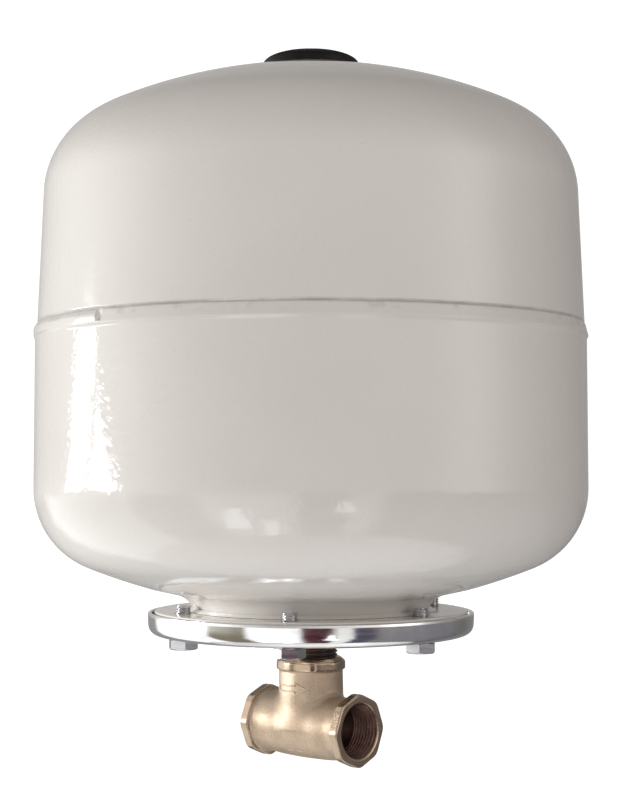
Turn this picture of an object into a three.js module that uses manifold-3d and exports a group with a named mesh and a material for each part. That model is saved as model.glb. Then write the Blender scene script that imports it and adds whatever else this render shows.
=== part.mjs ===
// Expansion vessel for a drinking-water or heating line, 12 litre class, with its flow-through tee.
// Millimetres. Origin: centre of the tee's run. +Z up the vessel axis, +X along the flow.
import * as THREE from 'three';
import * as BufferGeometryUtils from 'three/addons/utils/BufferGeometryUtils.js';
import Module from 'manifold-3d';

const wasm = await Module();
wasm.setup();

// ---- driving dimensions ----
const GAP = 0.3;
const SHEET = 1.2;
const ROUND = 48;

const SEAM_Z = 197.2;
const UPPER = { seamR: 135.1, topR: 132.5, knuckle: 44.5, crown: 249.1, crownZ: 75.5 };
const LOWER = { seamR: 136.2, bottomR: 136.4, knuckle: 41.8, crown: 292.65, crownZ: 349.65 };
const LAP_LENGTH = 10;
const RIM_FLARE = 0.7;
const BOSS = { topZ: 325.8, topR: 26, footR: 52, dishR: 20, dishFloorR: 18, dishZ: 316 };
const NECK = { fromR: 78, r: 58, bottomZ: 57.2 };

const FLANGE = { z: 45.2, plate: 2, flatR: 73.4, rimR: 80.6, rimZ: 56.3 };
const COUNTER = { z: 49.9, top: 56.9, innerR: 50.5, outerR: 77.4 };
const BOLT = { pitchR: 66, phaseDeg: 3.5, count: 6, shankR: 3.85, acrossFlats: 13, head: 5.3, tipZ: 60.8 };
const HOLE_R = 4.3;

const NIPPLE = { r: 13.2, engagedR: 12.3, boreR: 10.2, bottomZ: 18.6, shoulderZ: 34.1, topZ: 49.4 };
const TEE = {
  half: 32, barrelR: 15.75, branchR: 16, branchTop: 33.8, bossR: 17.65, collar: 5,
  octagonR: 17.86, threadR: 12.5, threadDepth: 15.5, mouthR: 13.6, waterwayR: 11.5,
  branchBoreR: 13.25, seatZ: 15.5, seatR: 10.8,
};
const MEMBRANE = { lipZ: 47.5, lipTop: 49.6, lipR: 57, wall: 2, crownZ: 190 };

const VALVE = {
  flangeR: 8.5, flangeZ: 310.2, flangeTop: 312.7, stemR: 4, tipR: 3.85, top: 329,
  threadBoreR: 2.75, seatTop: 320.4, seatBottom: 318.4, boreR: 2.2,
};
const CAP = { baseR: 24.6, baseZ: 326.1, topZ: 335.5, wall: 1.8, spigotR: 17.6, spigotZ: 321 };

// ---- looks ----
const PAINT = [0xe9e6e1, 0.28, 0.0];
const ZINC = [0xc9ccd2, 0.25, 0.95];
const DARK_STEEL = [0x3b3432, 0.5, 0.8];
const BRASS = [0xb8955c, 0.4, 0.9];
const RUBBER = [0x1c1c1e, 0.85, 0.0];
const BLACK_PLASTIC = [0x18181a, 0.6, 0.0];
const SPRING_STEEL = [0xb8bcc2, 0.3, 0.95];
const WHITE_PLASTIC = [0xdedcd4, 0.45, 0.0];

const vessel = new THREE.Group();
vessel.name = 'expansion_vessel';

function add(name, geometry, [color, roughness, metalness]) {
  const material = new THREE.MeshStandardMaterial({ color, roughness, metalness });
  const mesh = new THREE.Mesh(geometry, material);
  mesh.name = name;
  vessel.add(mesh);
}

// ---- geometry helpers ----
const rad = (deg) => (deg * Math.PI) / 180;

// A closed profile of [radius, height] pairs, turned about +Z.
function turn(profile, segments = ROUND) {
  const points = profile.map(([r, z]) => new THREE.Vector2(Math.max(r, 0), z));
  const onAxis = points[0].x < 1e-6 && points[points.length - 1].x < 1e-6;
  if (!onAxis) points.push(points[0].clone());
  const area = THREE.ShapeUtils.area(points);
  if (area < 0) points.reverse();
  return merged(new THREE.LatheGeometry(points, segments).rotateX(Math.PI / 2));
}

function merged(geometry) {
  geometry.deleteAttribute('normal');
  geometry.deleteAttribute('uv');
  return BufferGeometryUtils.mergeVertices(geometry, 1e-4);
}

function ring(innerR, outerR, z0, z1, segments = ROUND) {
  return turn([[innerR, z0], [outerR, z0], [outerR, z1], [innerR, z1]], segments);
}

function disc(r, z0, z1, segments = ROUND) {
  return turn([[0, z0], [r, z0], [r, z1], [0, z1]], segments);
}

// Points on a circular arc, both ends included; angles in degrees from +R towards +Z.
function arc(centreR, centreZ, radius, fromDeg, toDeg, steps) {
  const points = [];
  for (let i = 0; i <= steps; i++) {
    const angle = rad(fromDeg + ((toDeg - fromDeg) * i) / steps);
    points.push([centreR + radius * Math.cos(angle), centreZ + radius * Math.sin(angle)]);
  }
  return points;
}

// The open line moved sideways by a distance, to the left of its direction of travel.
function offset(line, distance) {
  return line.map((point, i) => {
    const a = line[Math.max(i - 1, 0)];
    const b = line[Math.min(i + 1, line.length - 1)];
    const length = Math.hypot(b[0] - a[0], b[1] - a[1]);
    const side = [-(b[1] - a[1]) / length, (b[0] - a[0]) / length];
    return [point[0] + side[0] * distance, point[1] + side[1] * distance];
  });
}

// Sheet metal or moulded wall: the outer line and its offset, closed into one loop.
function wall(line, thickness) {
  return [...line, ...offset(line, thickness).reverse()];
}

function smooth(points, samples) {
  const curve = new THREE.SplineCurve(points.map(([x, y]) => new THREE.Vector2(x, y)));
  return curve.getPoints(samples).map((p) => [p.x, p.y]);
}

function solid(geometry) {
  return new wasm.Manifold(new wasm.Mesh({
    numProp: 3,
    vertProperties: new Float32Array(geometry.attributes.position.array),
    triVerts: new Uint32Array(geometry.index.array),
  }));
}

function toGeometry(manifold) {
  const mesh = manifold.getMesh();
  const geometry = new THREE.BufferGeometry();
  geometry.setAttribute('position', new THREE.BufferAttribute(mesh.vertProperties, 3));
  geometry.setIndex(new THREE.BufferAttribute(mesh.triVerts, 1));
  return geometry;
}

function prism(radius, sides, z0, z1, twistDeg = 0) {
  const geometry = new THREE.CylinderGeometry(radius, radius, z1 - z0, sides);
  geometry.rotateX(Math.PI / 2).rotateZ(rad(twistDeg)).translate(0, 0, (z0 + z1) / 2);
  return merged(geometry);
}

// A hexagon with its corners turned off at both ends.
function chamferedHexagon(acrossFlats, z0, z1, twistDeg) {
  const cornerR = acrossFlats / Math.sqrt(3);
  const r = acrossFlats / 2 - 0.2;
  const drop = (cornerR - r) * 0.55;
  const blank = turn([
    [0, z0], [r, z0], [cornerR + 0.01, z0 + drop], [cornerR + 0.01, z1 - drop], [r, z1], [0, z1],
  ], 18);
  return solid(prism(cornerR, 6, z0, z1, twistDeg)).intersect(solid(blank));
}

// ---- pressed steel shells ----
// Where the crown and the knuckle of a dome meet, seen from the crown's centre.
function domeBend(wallR, knuckle, crown) {
  return (Math.asin((wallR - knuckle) / (crown - knuckle)) * 180) / Math.PI;
}

function upperShell() {
  const { seamR, topR, knuckle, crown, crownZ } = UPPER;
  const bend = domeBend(topR, knuckle, crown);
  const knuckleZ = crownZ + (crown - knuckle) * Math.cos(rad(bend));
  const footDeg = (Math.asin(BOSS.footR / crown) * 180) / Math.PI;
  const line = [
    [LOWER.seamR - SHEET - GAP, SEAM_Z - LAP_LENGTH],
    [LOWER.seamR - SHEET - GAP, SEAM_Z - 1],
    [seamR, SEAM_Z + 0.6],
    ...arc(topR - knuckle, knuckleZ, knuckle, 0, 90 - bend, 6),
    ...arc(0, crownZ, crown, 90 - bend, 90 - footDeg, 3).slice(1),
    [44, BOSS.topZ - 4.4], [36, BOSS.topZ - 2.1], [31, BOSS.topZ - 0.7], [BOSS.topR, BOSS.topZ],
    [BOSS.dishR + 0.6, BOSS.topZ],
    [BOSS.dishFloorR + 0.4, BOSS.dishZ + 1.2], [BOSS.dishFloorR - 1.2, BOSS.dishZ],
    [HOLE_R, BOSS.dishZ],
  ];
  return turn(wall(line, SHEET));
}

function lowerShell() {
  const { seamR, bottomR, knuckle, crown, crownZ } = LOWER;
  const bend = domeBend(bottomR, knuckle, crown);
  const knuckleZ = crownZ - (crown - knuckle) * Math.cos(rad(bend));
  const neckDeg = (Math.asin(NECK.fromR / crown) * 180) / Math.PI;
  const line = [
    [seamR + RIM_FLARE - 0.1, SEAM_Z - 3.7],
    [seamR + RIM_FLARE, SEAM_Z - 5],
    [seamR, SEAM_Z - 8.5],
    ...arc(bottomR - knuckle, knuckleZ, knuckle, 0, -(90 - bend), 6),
    ...arc(0, crownZ, crown, bend - 90, neckDeg - 90, 2).slice(1),
    [66, 64.8], [62, 62.6], [NECK.r + 1.4, 60.2], [NECK.r, NECK.bottomZ],
  ];
  return turn(wall(line, -SHEET));
}

function seamWeldBead() {
  const inner = LOWER.seamR - SHEET + 0.1;
  const outer = LOWER.seamR + RIM_FLARE;
  const z = SEAM_Z;
  return turn([
    [inner, z - 3.3], [outer, z - 3.3], [outer - 0.1, z - 1.8], [outer - 0.7, z - 0.4],
    [inner + 0.5, z], [inner + 0.35, z],
  ]);
}

// ---- bolted flange ----
function boltPositions() {
  return Array.from({ length: BOLT.count }, (_, i) => {
    const angle = rad(BOLT.phaseDeg + (360 / BOLT.count) * i);
    return [BOLT.pitchR * Math.cos(angle), BOLT.pitchR * Math.sin(angle)];
  });
}

function drilled(geometry, z0, z1) {
  return boltPositions().reduce(
    (body, [x, y]) => body.subtract(solid(disc(HOLE_R, z0, z1, 16).translate(x, y, 0))),
    solid(geometry),
  );
}

function coverFlange() {
  const { z, plate, flatR, rimR, rimZ } = FLANGE;
  const line = [
    [NIPPLE.r + GAP, z], [flatR, z], [rimR - 3.5, z + 1.1], [rimR - 1.1, z + 3.8],
    [rimR, z + 7.6], [rimR, rimZ - 0.8], [rimR - 0.7, rimZ],
  ];
  const inner = [
    [rimR - 1.4, rimZ], [rimR - 2, z + 7.8], [rimR - 2.8, z + 4.8], [rimR - 4.7, z + 2.8],
    [flatR, z + plate], [NIPPLE.r + GAP, z + plate],
  ];
  return toGeometry(drilled(turn([...line, ...inner]), z - 2, rimZ));
}

function counterFlange() {
  const { z, top, innerR, outerR } = COUNTER;
  const blank = turn([
    [innerR, z], [outerR - 2.6, z], [outerR, z + 2.6], [outerR, top - 0.6], [outerR - 0.6, top],
    [innerR, top],
  ]);
  return toGeometry(drilled(blank, z - 2, top + 2));
}

function flangeBolt(x, y, twistDeg) {
  const headTop = FLANGE.z - GAP;
  const head = chamferedHexagon(BOLT.acrossFlats, headTop - BOLT.head, headTop, twistDeg);
  const shank = turn([
    [0, headTop - 1], [BOLT.shankR, headTop - 1], [BOLT.shankR, BOLT.tipZ - 0.8],
    [BOLT.shankR - 0.8, BOLT.tipZ], [0, BOLT.tipZ],
  ], 12);
  return toGeometry(head.add(solid(shank)).translate([x, y, 0]));
}

function neckWeld() {
  const z = COUNTER.top + GAP;
  return turn([
    [NECK.r + GAP, z], [NECK.r + 3, z], [NECK.r + 2, z + 1.2], [NECK.r + 0.9, z + 1.6],
  ]);
}

// ---- water connection ----
function connectionNipple() {
  const { r, engagedR, boreR, bottomZ, shoulderZ, topZ } = NIPPLE;
  return turn([
    [boreR, bottomZ], [engagedR - 0.8, bottomZ], [engagedR, bottomZ + 0.8], [engagedR, shoulderZ],
    [r, shoulderZ + 0.5], [r, topZ], [boreR, topZ],
  ], 32);
}

function nippleWeld() {
  const z = FLANGE.z + FLANGE.plate + GAP;
  const r = NIPPLE.r + GAP;
  return turn([[r, z], [r + 3.2, z], [r + 1.9, z + 1.6], [r, z + 2.1]], 32);
}

function threadSeal() {
  const { engagedR, bottomZ } = NIPPLE;
  return ring(engagedR + 0.25, engagedR + 0.7, bottomZ + 1.4, TEE.branchTop - 0.8, 32);
}

// A turned octagonal collar with its corners rounded off, its end face on z = 0, bevelled there.
function octagonCollar(height, roundR, bevel) {
  const blank = turn([
    [0, 0], [roundR - bevel, 0], [roundR, bevel * 0.8], [roundR, height - 1], [roundR - 1.2, height],
    [0, height],
  ], 32);
  return solid(prism(TEE.octagonR, 8, 0, height)).intersect(solid(blank));
}

function teeOutside() {
  const { half, barrelR, branchR, branchTop, bossR, collar } = TEE;
  const run = solid(disc(barrelR, -half + 1, half - 1, 32)).rotate([0, 90, 0]);
  const branch = solid(disc(branchR, 0, branchTop - 1, 32));
  const inlet = octagonCollar(collar, bossR, 1).rotate([0, 90, 0]).translate([-half, 0, 0]);
  const outlet = octagonCollar(collar, bossR, 1).rotate([0, -90, 0]).translate([half, 0, 0]);
  const top = octagonCollar(6.2, 17, 2.5).rotate([180, 0, 0]).translate([0, 0, branchTop]);
  return [branch, inlet, outlet, top].reduce((body, piece) => body.add(piece), run);
}

function teeBody() {
  const { half, threadR, threadDepth, mouthR, waterwayR, branchTop, branchBoreR, seatZ, seatR } = TEE;
  const end = half + 1;
  const throat = half - threadDepth;
  const runBore = turn([
    [0, -end], [mouthR + 0.9, -end], [threadR, -half + 1.2], [threadR, -throat],
    [waterwayR, -throat + 1], [waterwayR, throat - 1], [threadR, throat],
    [threadR, half - 1.2], [mouthR + 0.9, end], [0, end],
  ], 32);
  const branchBore = turn([
    [0, 0], [seatR, 0], [seatR, seatZ], [branchBoreR, seatZ], [branchBoreR, branchTop - 0.4],
    [branchBoreR + 0.8, branchTop + 0.4], [0, branchTop + 0.4],
  ], 32);
  return toGeometry(
    teeOutside().subtract(solid(runBore).rotate([0, 90, 0])).subtract(solid(branchBore)),
  );
}

// A seat ring in the branch with a blade across it that turns the flow up into the vessel.
function flowDiverter() {
  const seat = solid(ring(9.2, TEE.branchBoreR - GAP, TEE.seatZ + GAP, NIPPLE.bottomZ - GAP, 32));
  const blade = solid(merged(new THREE.BoxGeometry(1.6, 18.8, 26).translate(0, 0, 25.6)));
  return toGeometry(seat.add(blade));
}

// ---- rubber membrane ----
function membrane() {
  const { lipZ, lipTop, lipR, wall: thickness, crownZ } = MEMBRANE;
  const bag = smooth([
    [49.2, lipTop], [49, 58], [50.5, 68], [57, 82], [69, 98], [77, 116], [79.5, 136], [75, 156],
    [63, 173], [44, 184], [22, 189.2], [0, crownZ],
  ], 14);
  const outer = [[lipR, lipZ], [lipR, lipTop], ...bag];
  const inside = offset(bag, thickness).reverse();
  inside[0] = [0, crownZ - thickness];
  inside.pop();
  return turn([...outer, ...inside, [49.2 - thickness, lipZ]], 36);
}

// ---- gas valve under the cover ----
function valveBody() {
  const v = VALVE;
  return turn([
    [v.boreR, v.flangeZ], [v.flangeR, v.flangeZ], [v.flangeR, v.flangeTop], [v.stemR, v.flangeTop],
    [v.stemR, 320.6], [v.tipR, 321], [v.tipR, v.top - 0.5], [v.tipR - 0.5, v.top],
    [v.threadBoreR, v.top], [v.threadBoreR, v.seatTop], [v.boreR, v.seatBottom],
  ], 24);
}

function valveNut() {
  const hexagon = chamferedHexagon(13, BOSS.dishZ + GAP, BOSS.dishZ + 4.6, 10);
  return toGeometry(hexagon.subtract(solid(disc(HOLE_R, BOSS.dishZ, BOSS.dishZ + 6, 24))));
}

function corePlug() {
  return turn([
    [0.95, 323.5], [2.1, 323.5], [2.45, 324], [2.45, 326.8], [1.9, 326.8], [1.9, 328.3],
    [0.95, 328.3],
  ], 16);
}

function coreBarrel() {
  return turn([
    [0.95, 315.5], [1.6, 315.5], [1.85, 316], [1.85, 323.2], [1.45, 323.2], [1.45, 316.3],
    [0.95, 316.3],
  ], 16);
}

function coreGasket() {
  return turn([[1.95, 319], [2.05, 319], [2.45, 320.6], [2.5, 321.6], [1.95, 321.6]], 16);
}

function valvePin() {
  return turn([
    [0, 312.6], [0.65, 312.6], [0.65, 313.2], [1.9, 313.2], [1.9, 315.2], [1.75, 315.2],
    [1.75, 314.2], [0.65, 314.2], [0.65, 322.5], [1.3, 322.5], [1.3, 323.1], [0.65, 323.1],
    [0.65, 328.6], [0, 328.6],
  ], 16);
}

class Coil extends THREE.Curve {
  constructor(radius, z0, z1, turns) {
    super();
    Object.assign(this, { radius, z0, z1, turns });
  }

  getPoint(t, target = new THREE.Vector3()) {
    const angle = 2 * Math.PI * this.turns * t;
    return target.set(
      this.radius * Math.cos(angle), this.radius * Math.sin(angle), this.z0 + (this.z1 - this.z0) * t,
    );
  }
}

function coreSpring() {
  const wire = new THREE.Shape().absarc(0, 0, 0.15, 0, 2 * Math.PI);
  const coil = new Coil(1.1, 316.6, 322.2, 5);
  return merged(new THREE.ExtrudeGeometry(wire, { steps: 50, curveSegments: 3, extrudePath: coil }));
}

// ---- caps ----
function dustCap() {
  const outer = [[5.2, 321.4], [5.4, 321.8], [5.4, 331], [4.8, 331.8], [0, 331.8]];
  const inner = [[0, 330.3], [4.15, 330.3], [4.15, 321.4]];
  return turn([...outer, ...inner], 24);
}

function coverCap() {
  const { baseR, baseZ, topZ, wall: t, spigotR, spigotZ } = CAP;
  const outer = [
    [baseR, baseZ], [baseR, 330.2], [24.1, 331.2], [23, 332.15], [20, 333.45], [16, 334.35],
    [12, 334.9], [7, topZ - 0.2], [0, topZ],
  ];
  const inner = [
    [0, topZ - t], [10, topZ - t - 0.2], [spigotR - 1.4, 332.3], [spigotR - 1.4, spigotZ],
    [spigotR, spigotZ + 0.6], [spigotR, 331.9], [22.6, 329.4], [22.6, baseZ],
  ];
  return turn([...outer, ...inner]);
}

// ---- assembly ----
add('upper_shell', upperShell(), PAINT);
add('lower_shell', lowerShell(), PAINT);
add('seam_weld_bead', seamWeldBead(), PAINT);
add('neck_weld_bead', neckWeld(), PAINT);
add('counter_flange', counterFlange(), PAINT);
add('cover_flange', coverFlange(), ZINC);
boltPositions().forEach(([x, y], i) => {
  add(`flange_bolt_${i + 1}`, flangeBolt(x, y, 17 * i + 8), ZINC);
});
add('membrane', membrane(), RUBBER);

add('connection_nipple', connectionNipple(), DARK_STEEL);
add('nipple_weld_bead', nippleWeld(), DARK_STEEL);
add('thread_seal', threadSeal(), WHITE_PLASTIC);
add('tee_body', teeBody(), BRASS);
add('flow_diverter', flowDiverter(), WHITE_PLASTIC);

add('valve_body', valveBody(), BRASS);
add('valve_gasket', ring(HOLE_R, 9, 313, 314.5, 24), RUBBER);
add('valve_nut', valveNut(), ZINC);
add('core_plug', corePlug(), BRASS);
add('core_barrel', coreBarrel(), BRASS);
add('core_gasket', coreGasket(), WHITE_PLASTIC);
add('valve_pin', valvePin(), BRASS);
add('seat_washer', ring(0.75, 1.65, 314.4, 315.2, 16), RUBBER);
add('core_spring', coreSpring(), SPRING_STEEL);
add('dust_cap', dustCap(), BLACK_PLASTIC);
add('dust_cap_seal', disc(3.8, 329.3, 330, 24), RUBBER);
add('cover_cap', coverCap(), BLACK_PLASTIC);

export default vessel;
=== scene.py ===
"""Looks of the expansion vessel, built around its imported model.
Metres in Blender, millimetres in the tables."""
import math

import bpy
import numpy as np
import openvdb
from mathutils import Matrix, Vector


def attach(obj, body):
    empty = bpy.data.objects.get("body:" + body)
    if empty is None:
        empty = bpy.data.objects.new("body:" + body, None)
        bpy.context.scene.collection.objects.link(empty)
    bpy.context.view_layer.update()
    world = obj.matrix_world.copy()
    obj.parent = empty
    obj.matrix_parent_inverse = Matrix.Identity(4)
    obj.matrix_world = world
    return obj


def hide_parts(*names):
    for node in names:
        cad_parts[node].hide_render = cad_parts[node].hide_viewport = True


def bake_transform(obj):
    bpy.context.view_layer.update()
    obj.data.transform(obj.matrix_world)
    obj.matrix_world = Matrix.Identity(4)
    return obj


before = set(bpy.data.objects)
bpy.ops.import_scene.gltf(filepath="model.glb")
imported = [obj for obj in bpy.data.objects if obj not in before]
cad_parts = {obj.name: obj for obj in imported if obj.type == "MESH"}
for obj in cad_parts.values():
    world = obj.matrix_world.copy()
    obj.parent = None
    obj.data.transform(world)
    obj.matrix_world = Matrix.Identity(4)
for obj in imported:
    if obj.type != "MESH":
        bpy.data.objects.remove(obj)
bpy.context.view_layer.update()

MM = 0.001
TAU = 2 * math.pi

# ------------------------------------------------------------------ dimensions, mm
SHEET = 1.2
SEAM_Z = 197.2
UPPER = dict(seam=135.1, top=132.5, knuckle=44.5, crown=249.1, centre=75.5)
LOWER = dict(seam=136.2, bottom=136.4, knuckle=41.8, crown=292.65, centre=349.65)
RIM_FLARE = 0.7
FLANGE_Z = 45.2
RIM_R = 80.6
RIM_Z = 56.3
COUNTER_TOP = 56.9
BOLT_R, BOLT_PHASE = 66.0, math.radians(3.5)
BOLT_TWIST = [math.radians(turn) for turn in (4, 25, 42, 19, 23, 43)]  # how far each bolt is turned
BOLT_HEAD, BOLT_CORNER = 13.0, 7.51  # across the flats, and out to the corners
BOLT_PITCH, PIPE_PITCH, VALVE_PITCH = 1.25, 1.814, 0.794
TEE_HALF, TEE_CORNER, TEE_TOP = 32.0, 17.65, 33.8
WATERWAY_R = 11.5
VIEW_DEG = 42.0  # azimuth of the camera
WELD_STOP = math.radians(VIEW_DEG - 90 - 43.5)  # where the seam's weld starts and stops


# ------------------------------------------------------------------ mesh helpers
def mesh_object(name, verts, faces, sharp_deg):
    mesh = bpy.data.meshes.new(name)
    mesh.from_pydata([tuple(v) for v in np.asarray(verts) * MM], [], faces)
    mesh.validate()
    mesh.update()
    mesh.polygons.foreach_set("use_smooth", [True] * len(mesh.polygons))
    mesh.set_sharp_from_angle(angle=math.radians(sharp_deg))
    obj = bpy.data.objects.new(name, mesh)
    bpy.context.scene.collection.objects.link(obj)
    return obj


def soften(points, closed=True, steps=4):
    """Rounds each corner that carries a third number: its radius."""
    out = []
    n = len(points)
    for i, p in enumerate(points):
        radius = p[2] if len(p) > 2 else 0
        if not radius or (not closed and i in (0, n - 1)):
            out.append((p[0], p[1]))
            continue
        here = Vector(p[:2])
        before, after = Vector(points[i - 1][:2]), Vector(points[(i + 1) % n][:2])
        a = here + (before - here).normalized() * min(radius, (before - here).length * 0.49)
        b = here + (after - here).normalized() * min(radius, (after - here).length * 0.49)
        for k in range(steps + 1):
            t = k / steps
            q = a * (1 - t) ** 2 + here * (2 * t * (1 - t)) + b * t**2
            out.append((q.x, q.y))
    return out


def revolve(name, loop, segments, shape=None, sharp_deg=35, phase=0.0):
    """A closed section of (radius, height), turned about +Z. shape(theta, r, z) may change the radius.
    A section whose ends lie on the axis is closed there by a fan."""
    on_axis = loop[0][0] < 1e-6 and loop[-1][0] < 1e-6
    ring = np.array(loop[1:-1] if on_axis else loop, float)
    theta = phase + np.arange(segments) * TAU / segments
    r = np.repeat(ring[None, :, 0], segments, 0)
    z = np.repeat(ring[None, :, 1], segments, 0)
    if shape:
        r = shape(theta[:, None], r, z)
    n = len(ring)
    verts = np.stack([r * np.cos(theta)[:, None], r * np.sin(theta)[:, None], z], -1).reshape(-1, 3)
    area = sum(a[0] * b[1] - b[0] * a[1] for a, b in zip(loop, list(loop[1:]) + [loop[0]]))
    faces = []
    for i in range(segments):
        j = (i + 1) % segments
        for k in range(n - 1 if on_axis else n):
            m = (k + 1) % n
            faces.append((i * n + k, j * n + k, j * n + m, i * n + m))
        if on_axis:
            first, last = segments * n, segments * n + 1
            faces.append((first, j * n, i * n))
            faces.append((last, i * n + n - 1, j * n + n - 1))
    if on_axis:
        verts = np.vstack([verts, [0, 0, loop[0][1]], [0, 0, loop[-1][1]]])
    if area < 0:
        faces = [f[::-1] for f in faces]
    return mesh_object(name, verts, faces, sharp_deg)


def arc(cr, cz, radius, start, stop, steps):
    angles = np.radians(np.linspace(start, stop, steps + 1))
    return [(cr + radius * math.cos(a), cz + radius * math.sin(a)) for a in angles]


def offset(line, distance):
    """The line moved sideways, to the left of its direction."""
    p = np.array(line, float)
    t = np.gradient(p, axis=0)
    t /= np.linalg.norm(t, axis=1)[:, None]
    return [tuple(q) for q in p + np.stack([-t[:, 1], t[:, 0]], 1) * distance]


def sheet_loop(line, thickness):
    return list(line) + offset(line, thickness)[::-1]


def levels(r, z0, z1, step):
    """Points up a cylinder's side, close enough for a thread or a chamfer."""
    count = max(2, int(round(abs(z1 - z0) / step)) + 1)
    return [(r, z) for z in np.linspace(z0, z1, count)]


def tube(name, path, radius):
    """A wire along a path of points in mm, with flat ends."""
    sides = 10
    p = np.array(path, float)
    t = np.gradient(p, axis=0)
    t /= np.linalg.norm(t, axis=1)[:, None]
    side = np.cross(t, [0, 0, 1.0])
    side /= np.linalg.norm(side, axis=1)[:, None]
    up = np.cross(side, t)
    a = np.arange(sides) * TAU / sides
    ring = side[:, None] * np.cos(a)[None, :, None] + up[:, None] * np.sin(a)[None, :, None]
    verts = (p[:, None] + ring * radius).reshape(-1, 3)
    faces = [tuple(range(sides))[::-1], tuple(range(len(verts) - sides, len(verts)))]
    for i in range(len(p) - 1):
        for k in range(sides):
            m = (k + 1) % sides
            faces.append((i * sides + k, i * sides + m, (i + 1) * sides + m, (i + 1) * sides + k))
    return mesh_object(name, verts, faces, 50)


def drill(obj, places, radius, z0, z1):
    """Cuts round holes along +Z through a piece."""
    cutters = []
    for x, y in places:
        cutter = revolve("cutter", [(0, z0), (radius, z0), (radius, z1), (0, z1)], 32)
        cutter.data.transform(Matrix.Translation((x * MM, y * MM, 0)))
        cutters.append(cutter)
        modifier = obj.modifiers.new("drill", "BOOLEAN")
        modifier.operation, modifier.solver, modifier.object = "DIFFERENCE", "EXACT", cutter
    graph = bpy.context.evaluated_depsgraph_get()
    graph.update()
    drilled = bpy.data.meshes.new_from_object(obj.evaluated_get(graph))
    obj.modifiers.clear()
    drilled.set_sharp_from_angle(angle=math.radians(35))
    obj.data = drilled
    for cutter in cutters:
        bpy.data.objects.remove(cutter)


def hexagon(across_flats, twist):
    def radius(theta):
        return across_flats / 2 / np.cos((theta - twist) % (TAU / 6) - TAU / 12)
    return radius


def thread_form(phase):
    """0 at the root, 1 at the crest, with rounded roots and crests."""
    wave = np.abs((phase % 1.0) * 2 - 1)
    return np.clip(wave * 1.35 - 0.175, 0, 1)


# ------------------------------------------------------------------ material helpers
def mix_colours(tree, factor, first, second):
    """A blend of two colours, each a tuple or another node's output."""
    n = tree.nodes.new("ShaderNodeMix")
    n.data_type = "RGBA"
    tree.links.new(factor, n.inputs["Factor"])
    for socket, colour in ((n.inputs[6], first), (n.inputs[7], second)):
        if isinstance(colour, tuple):
            socket.default_value = (*colour, 1)
        else:
            tree.links.new(colour, socket)
    return n.outputs[2]


def do_maths(tree, operation, *values):
    """A sum on numbers or other nodes' outputs."""
    n = tree.nodes.new("ShaderNodeMath")
    n.operation = operation
    for socket, value in zip(n.inputs, values):
        if isinstance(value, (int, float)):
            socket.default_value = value
        else:
            tree.links.new(value, socket)
    return n.outputs[0]


class Look:
    """A Principled material whose nodes read the piece's own object coordinates."""

    def __init__(self, name, **sockets):
        self.mat = bpy.data.materials.new(name)
        self.mat.use_nodes = True
        self.tree = self.mat.node_tree
        self.bsdf = self.tree.nodes["Principled BSDF"]
        self.coords = self.tree.nodes.new("ShaderNodeTexCoord").outputs["Object"]
        self.height = None
        for key, value in sockets.items():
            self.bsdf.inputs[key.replace("_", " ")].default_value = value

    def node(self, kind, links=(), **values):
        n = self.tree.nodes.new(kind)
        for key, value in values.items():
            if hasattr(n, key):
                setattr(n, key, value)
            else:
                n.inputs[key.replace("_", " ")].default_value = value
        for socket, source in dict(links).items():
            self.tree.links.new(source, n.inputs[socket])
        return n

    def noise(self, scale, detail, stretch=(1, 1, 1)):
        place = self.node("ShaderNodeMapping", {"Vector": self.coords}, Scale=stretch)
        n = self.node("ShaderNodeTexNoise", {"Vector": place.outputs[0]},
                      Scale=scale, Detail=detail, Roughness=0.55)
        return n.outputs["Fac"]

    def cells(self, scale):
        n = self.node("ShaderNodeTexVoronoi", {"Vector": self.coords}, Scale=scale)
        return n.outputs["Distance"]

    def span(self, source, lo, hi, out_lo=0.0, out_hi=1.0):
        n = self.node("ShaderNodeMapRange", {"Value": source},
                      From_Min=lo, From_Max=hi, To_Min=out_lo, To_Max=out_hi)
        return n.outputs[0]

    def blend(self, factor, first, second):
        return mix_colours(self.tree, factor, first, second)

    def times(self, a, b):
        return do_maths(self.tree, "MULTIPLY", a, b)

    def edges(self, lo=0.52, hi=0.6):
        """1 on outer edges, or in hollows when lo is above hi."""
        geometry = self.node("ShaderNodeNewGeometry")
        return self.span(geometry.outputs["Pointiness"], lo, hi)

    def hollows(self, lo=0.5, hi=0.42):
        return self.edges(lo, hi)

    def colour(self, source):
        self.tree.links.new(source, self.bsdf.inputs["Base Color"])

    def rough(self, source):
        self.tree.links.new(source, self.bsdf.inputs["Roughness"])

    def bump(self, source, depth_mm, strength):
        links = {"Height": source}
        if self.height is not None:
            links["Normal"] = self.height
        n = self.node("ShaderNodeBump", links, Strength=strength, Distance=depth_mm * MM)
        self.height = n.outputs["Normal"]
        self.tree.links.new(self.height, self.bsdf.inputs["Normal"])


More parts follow.
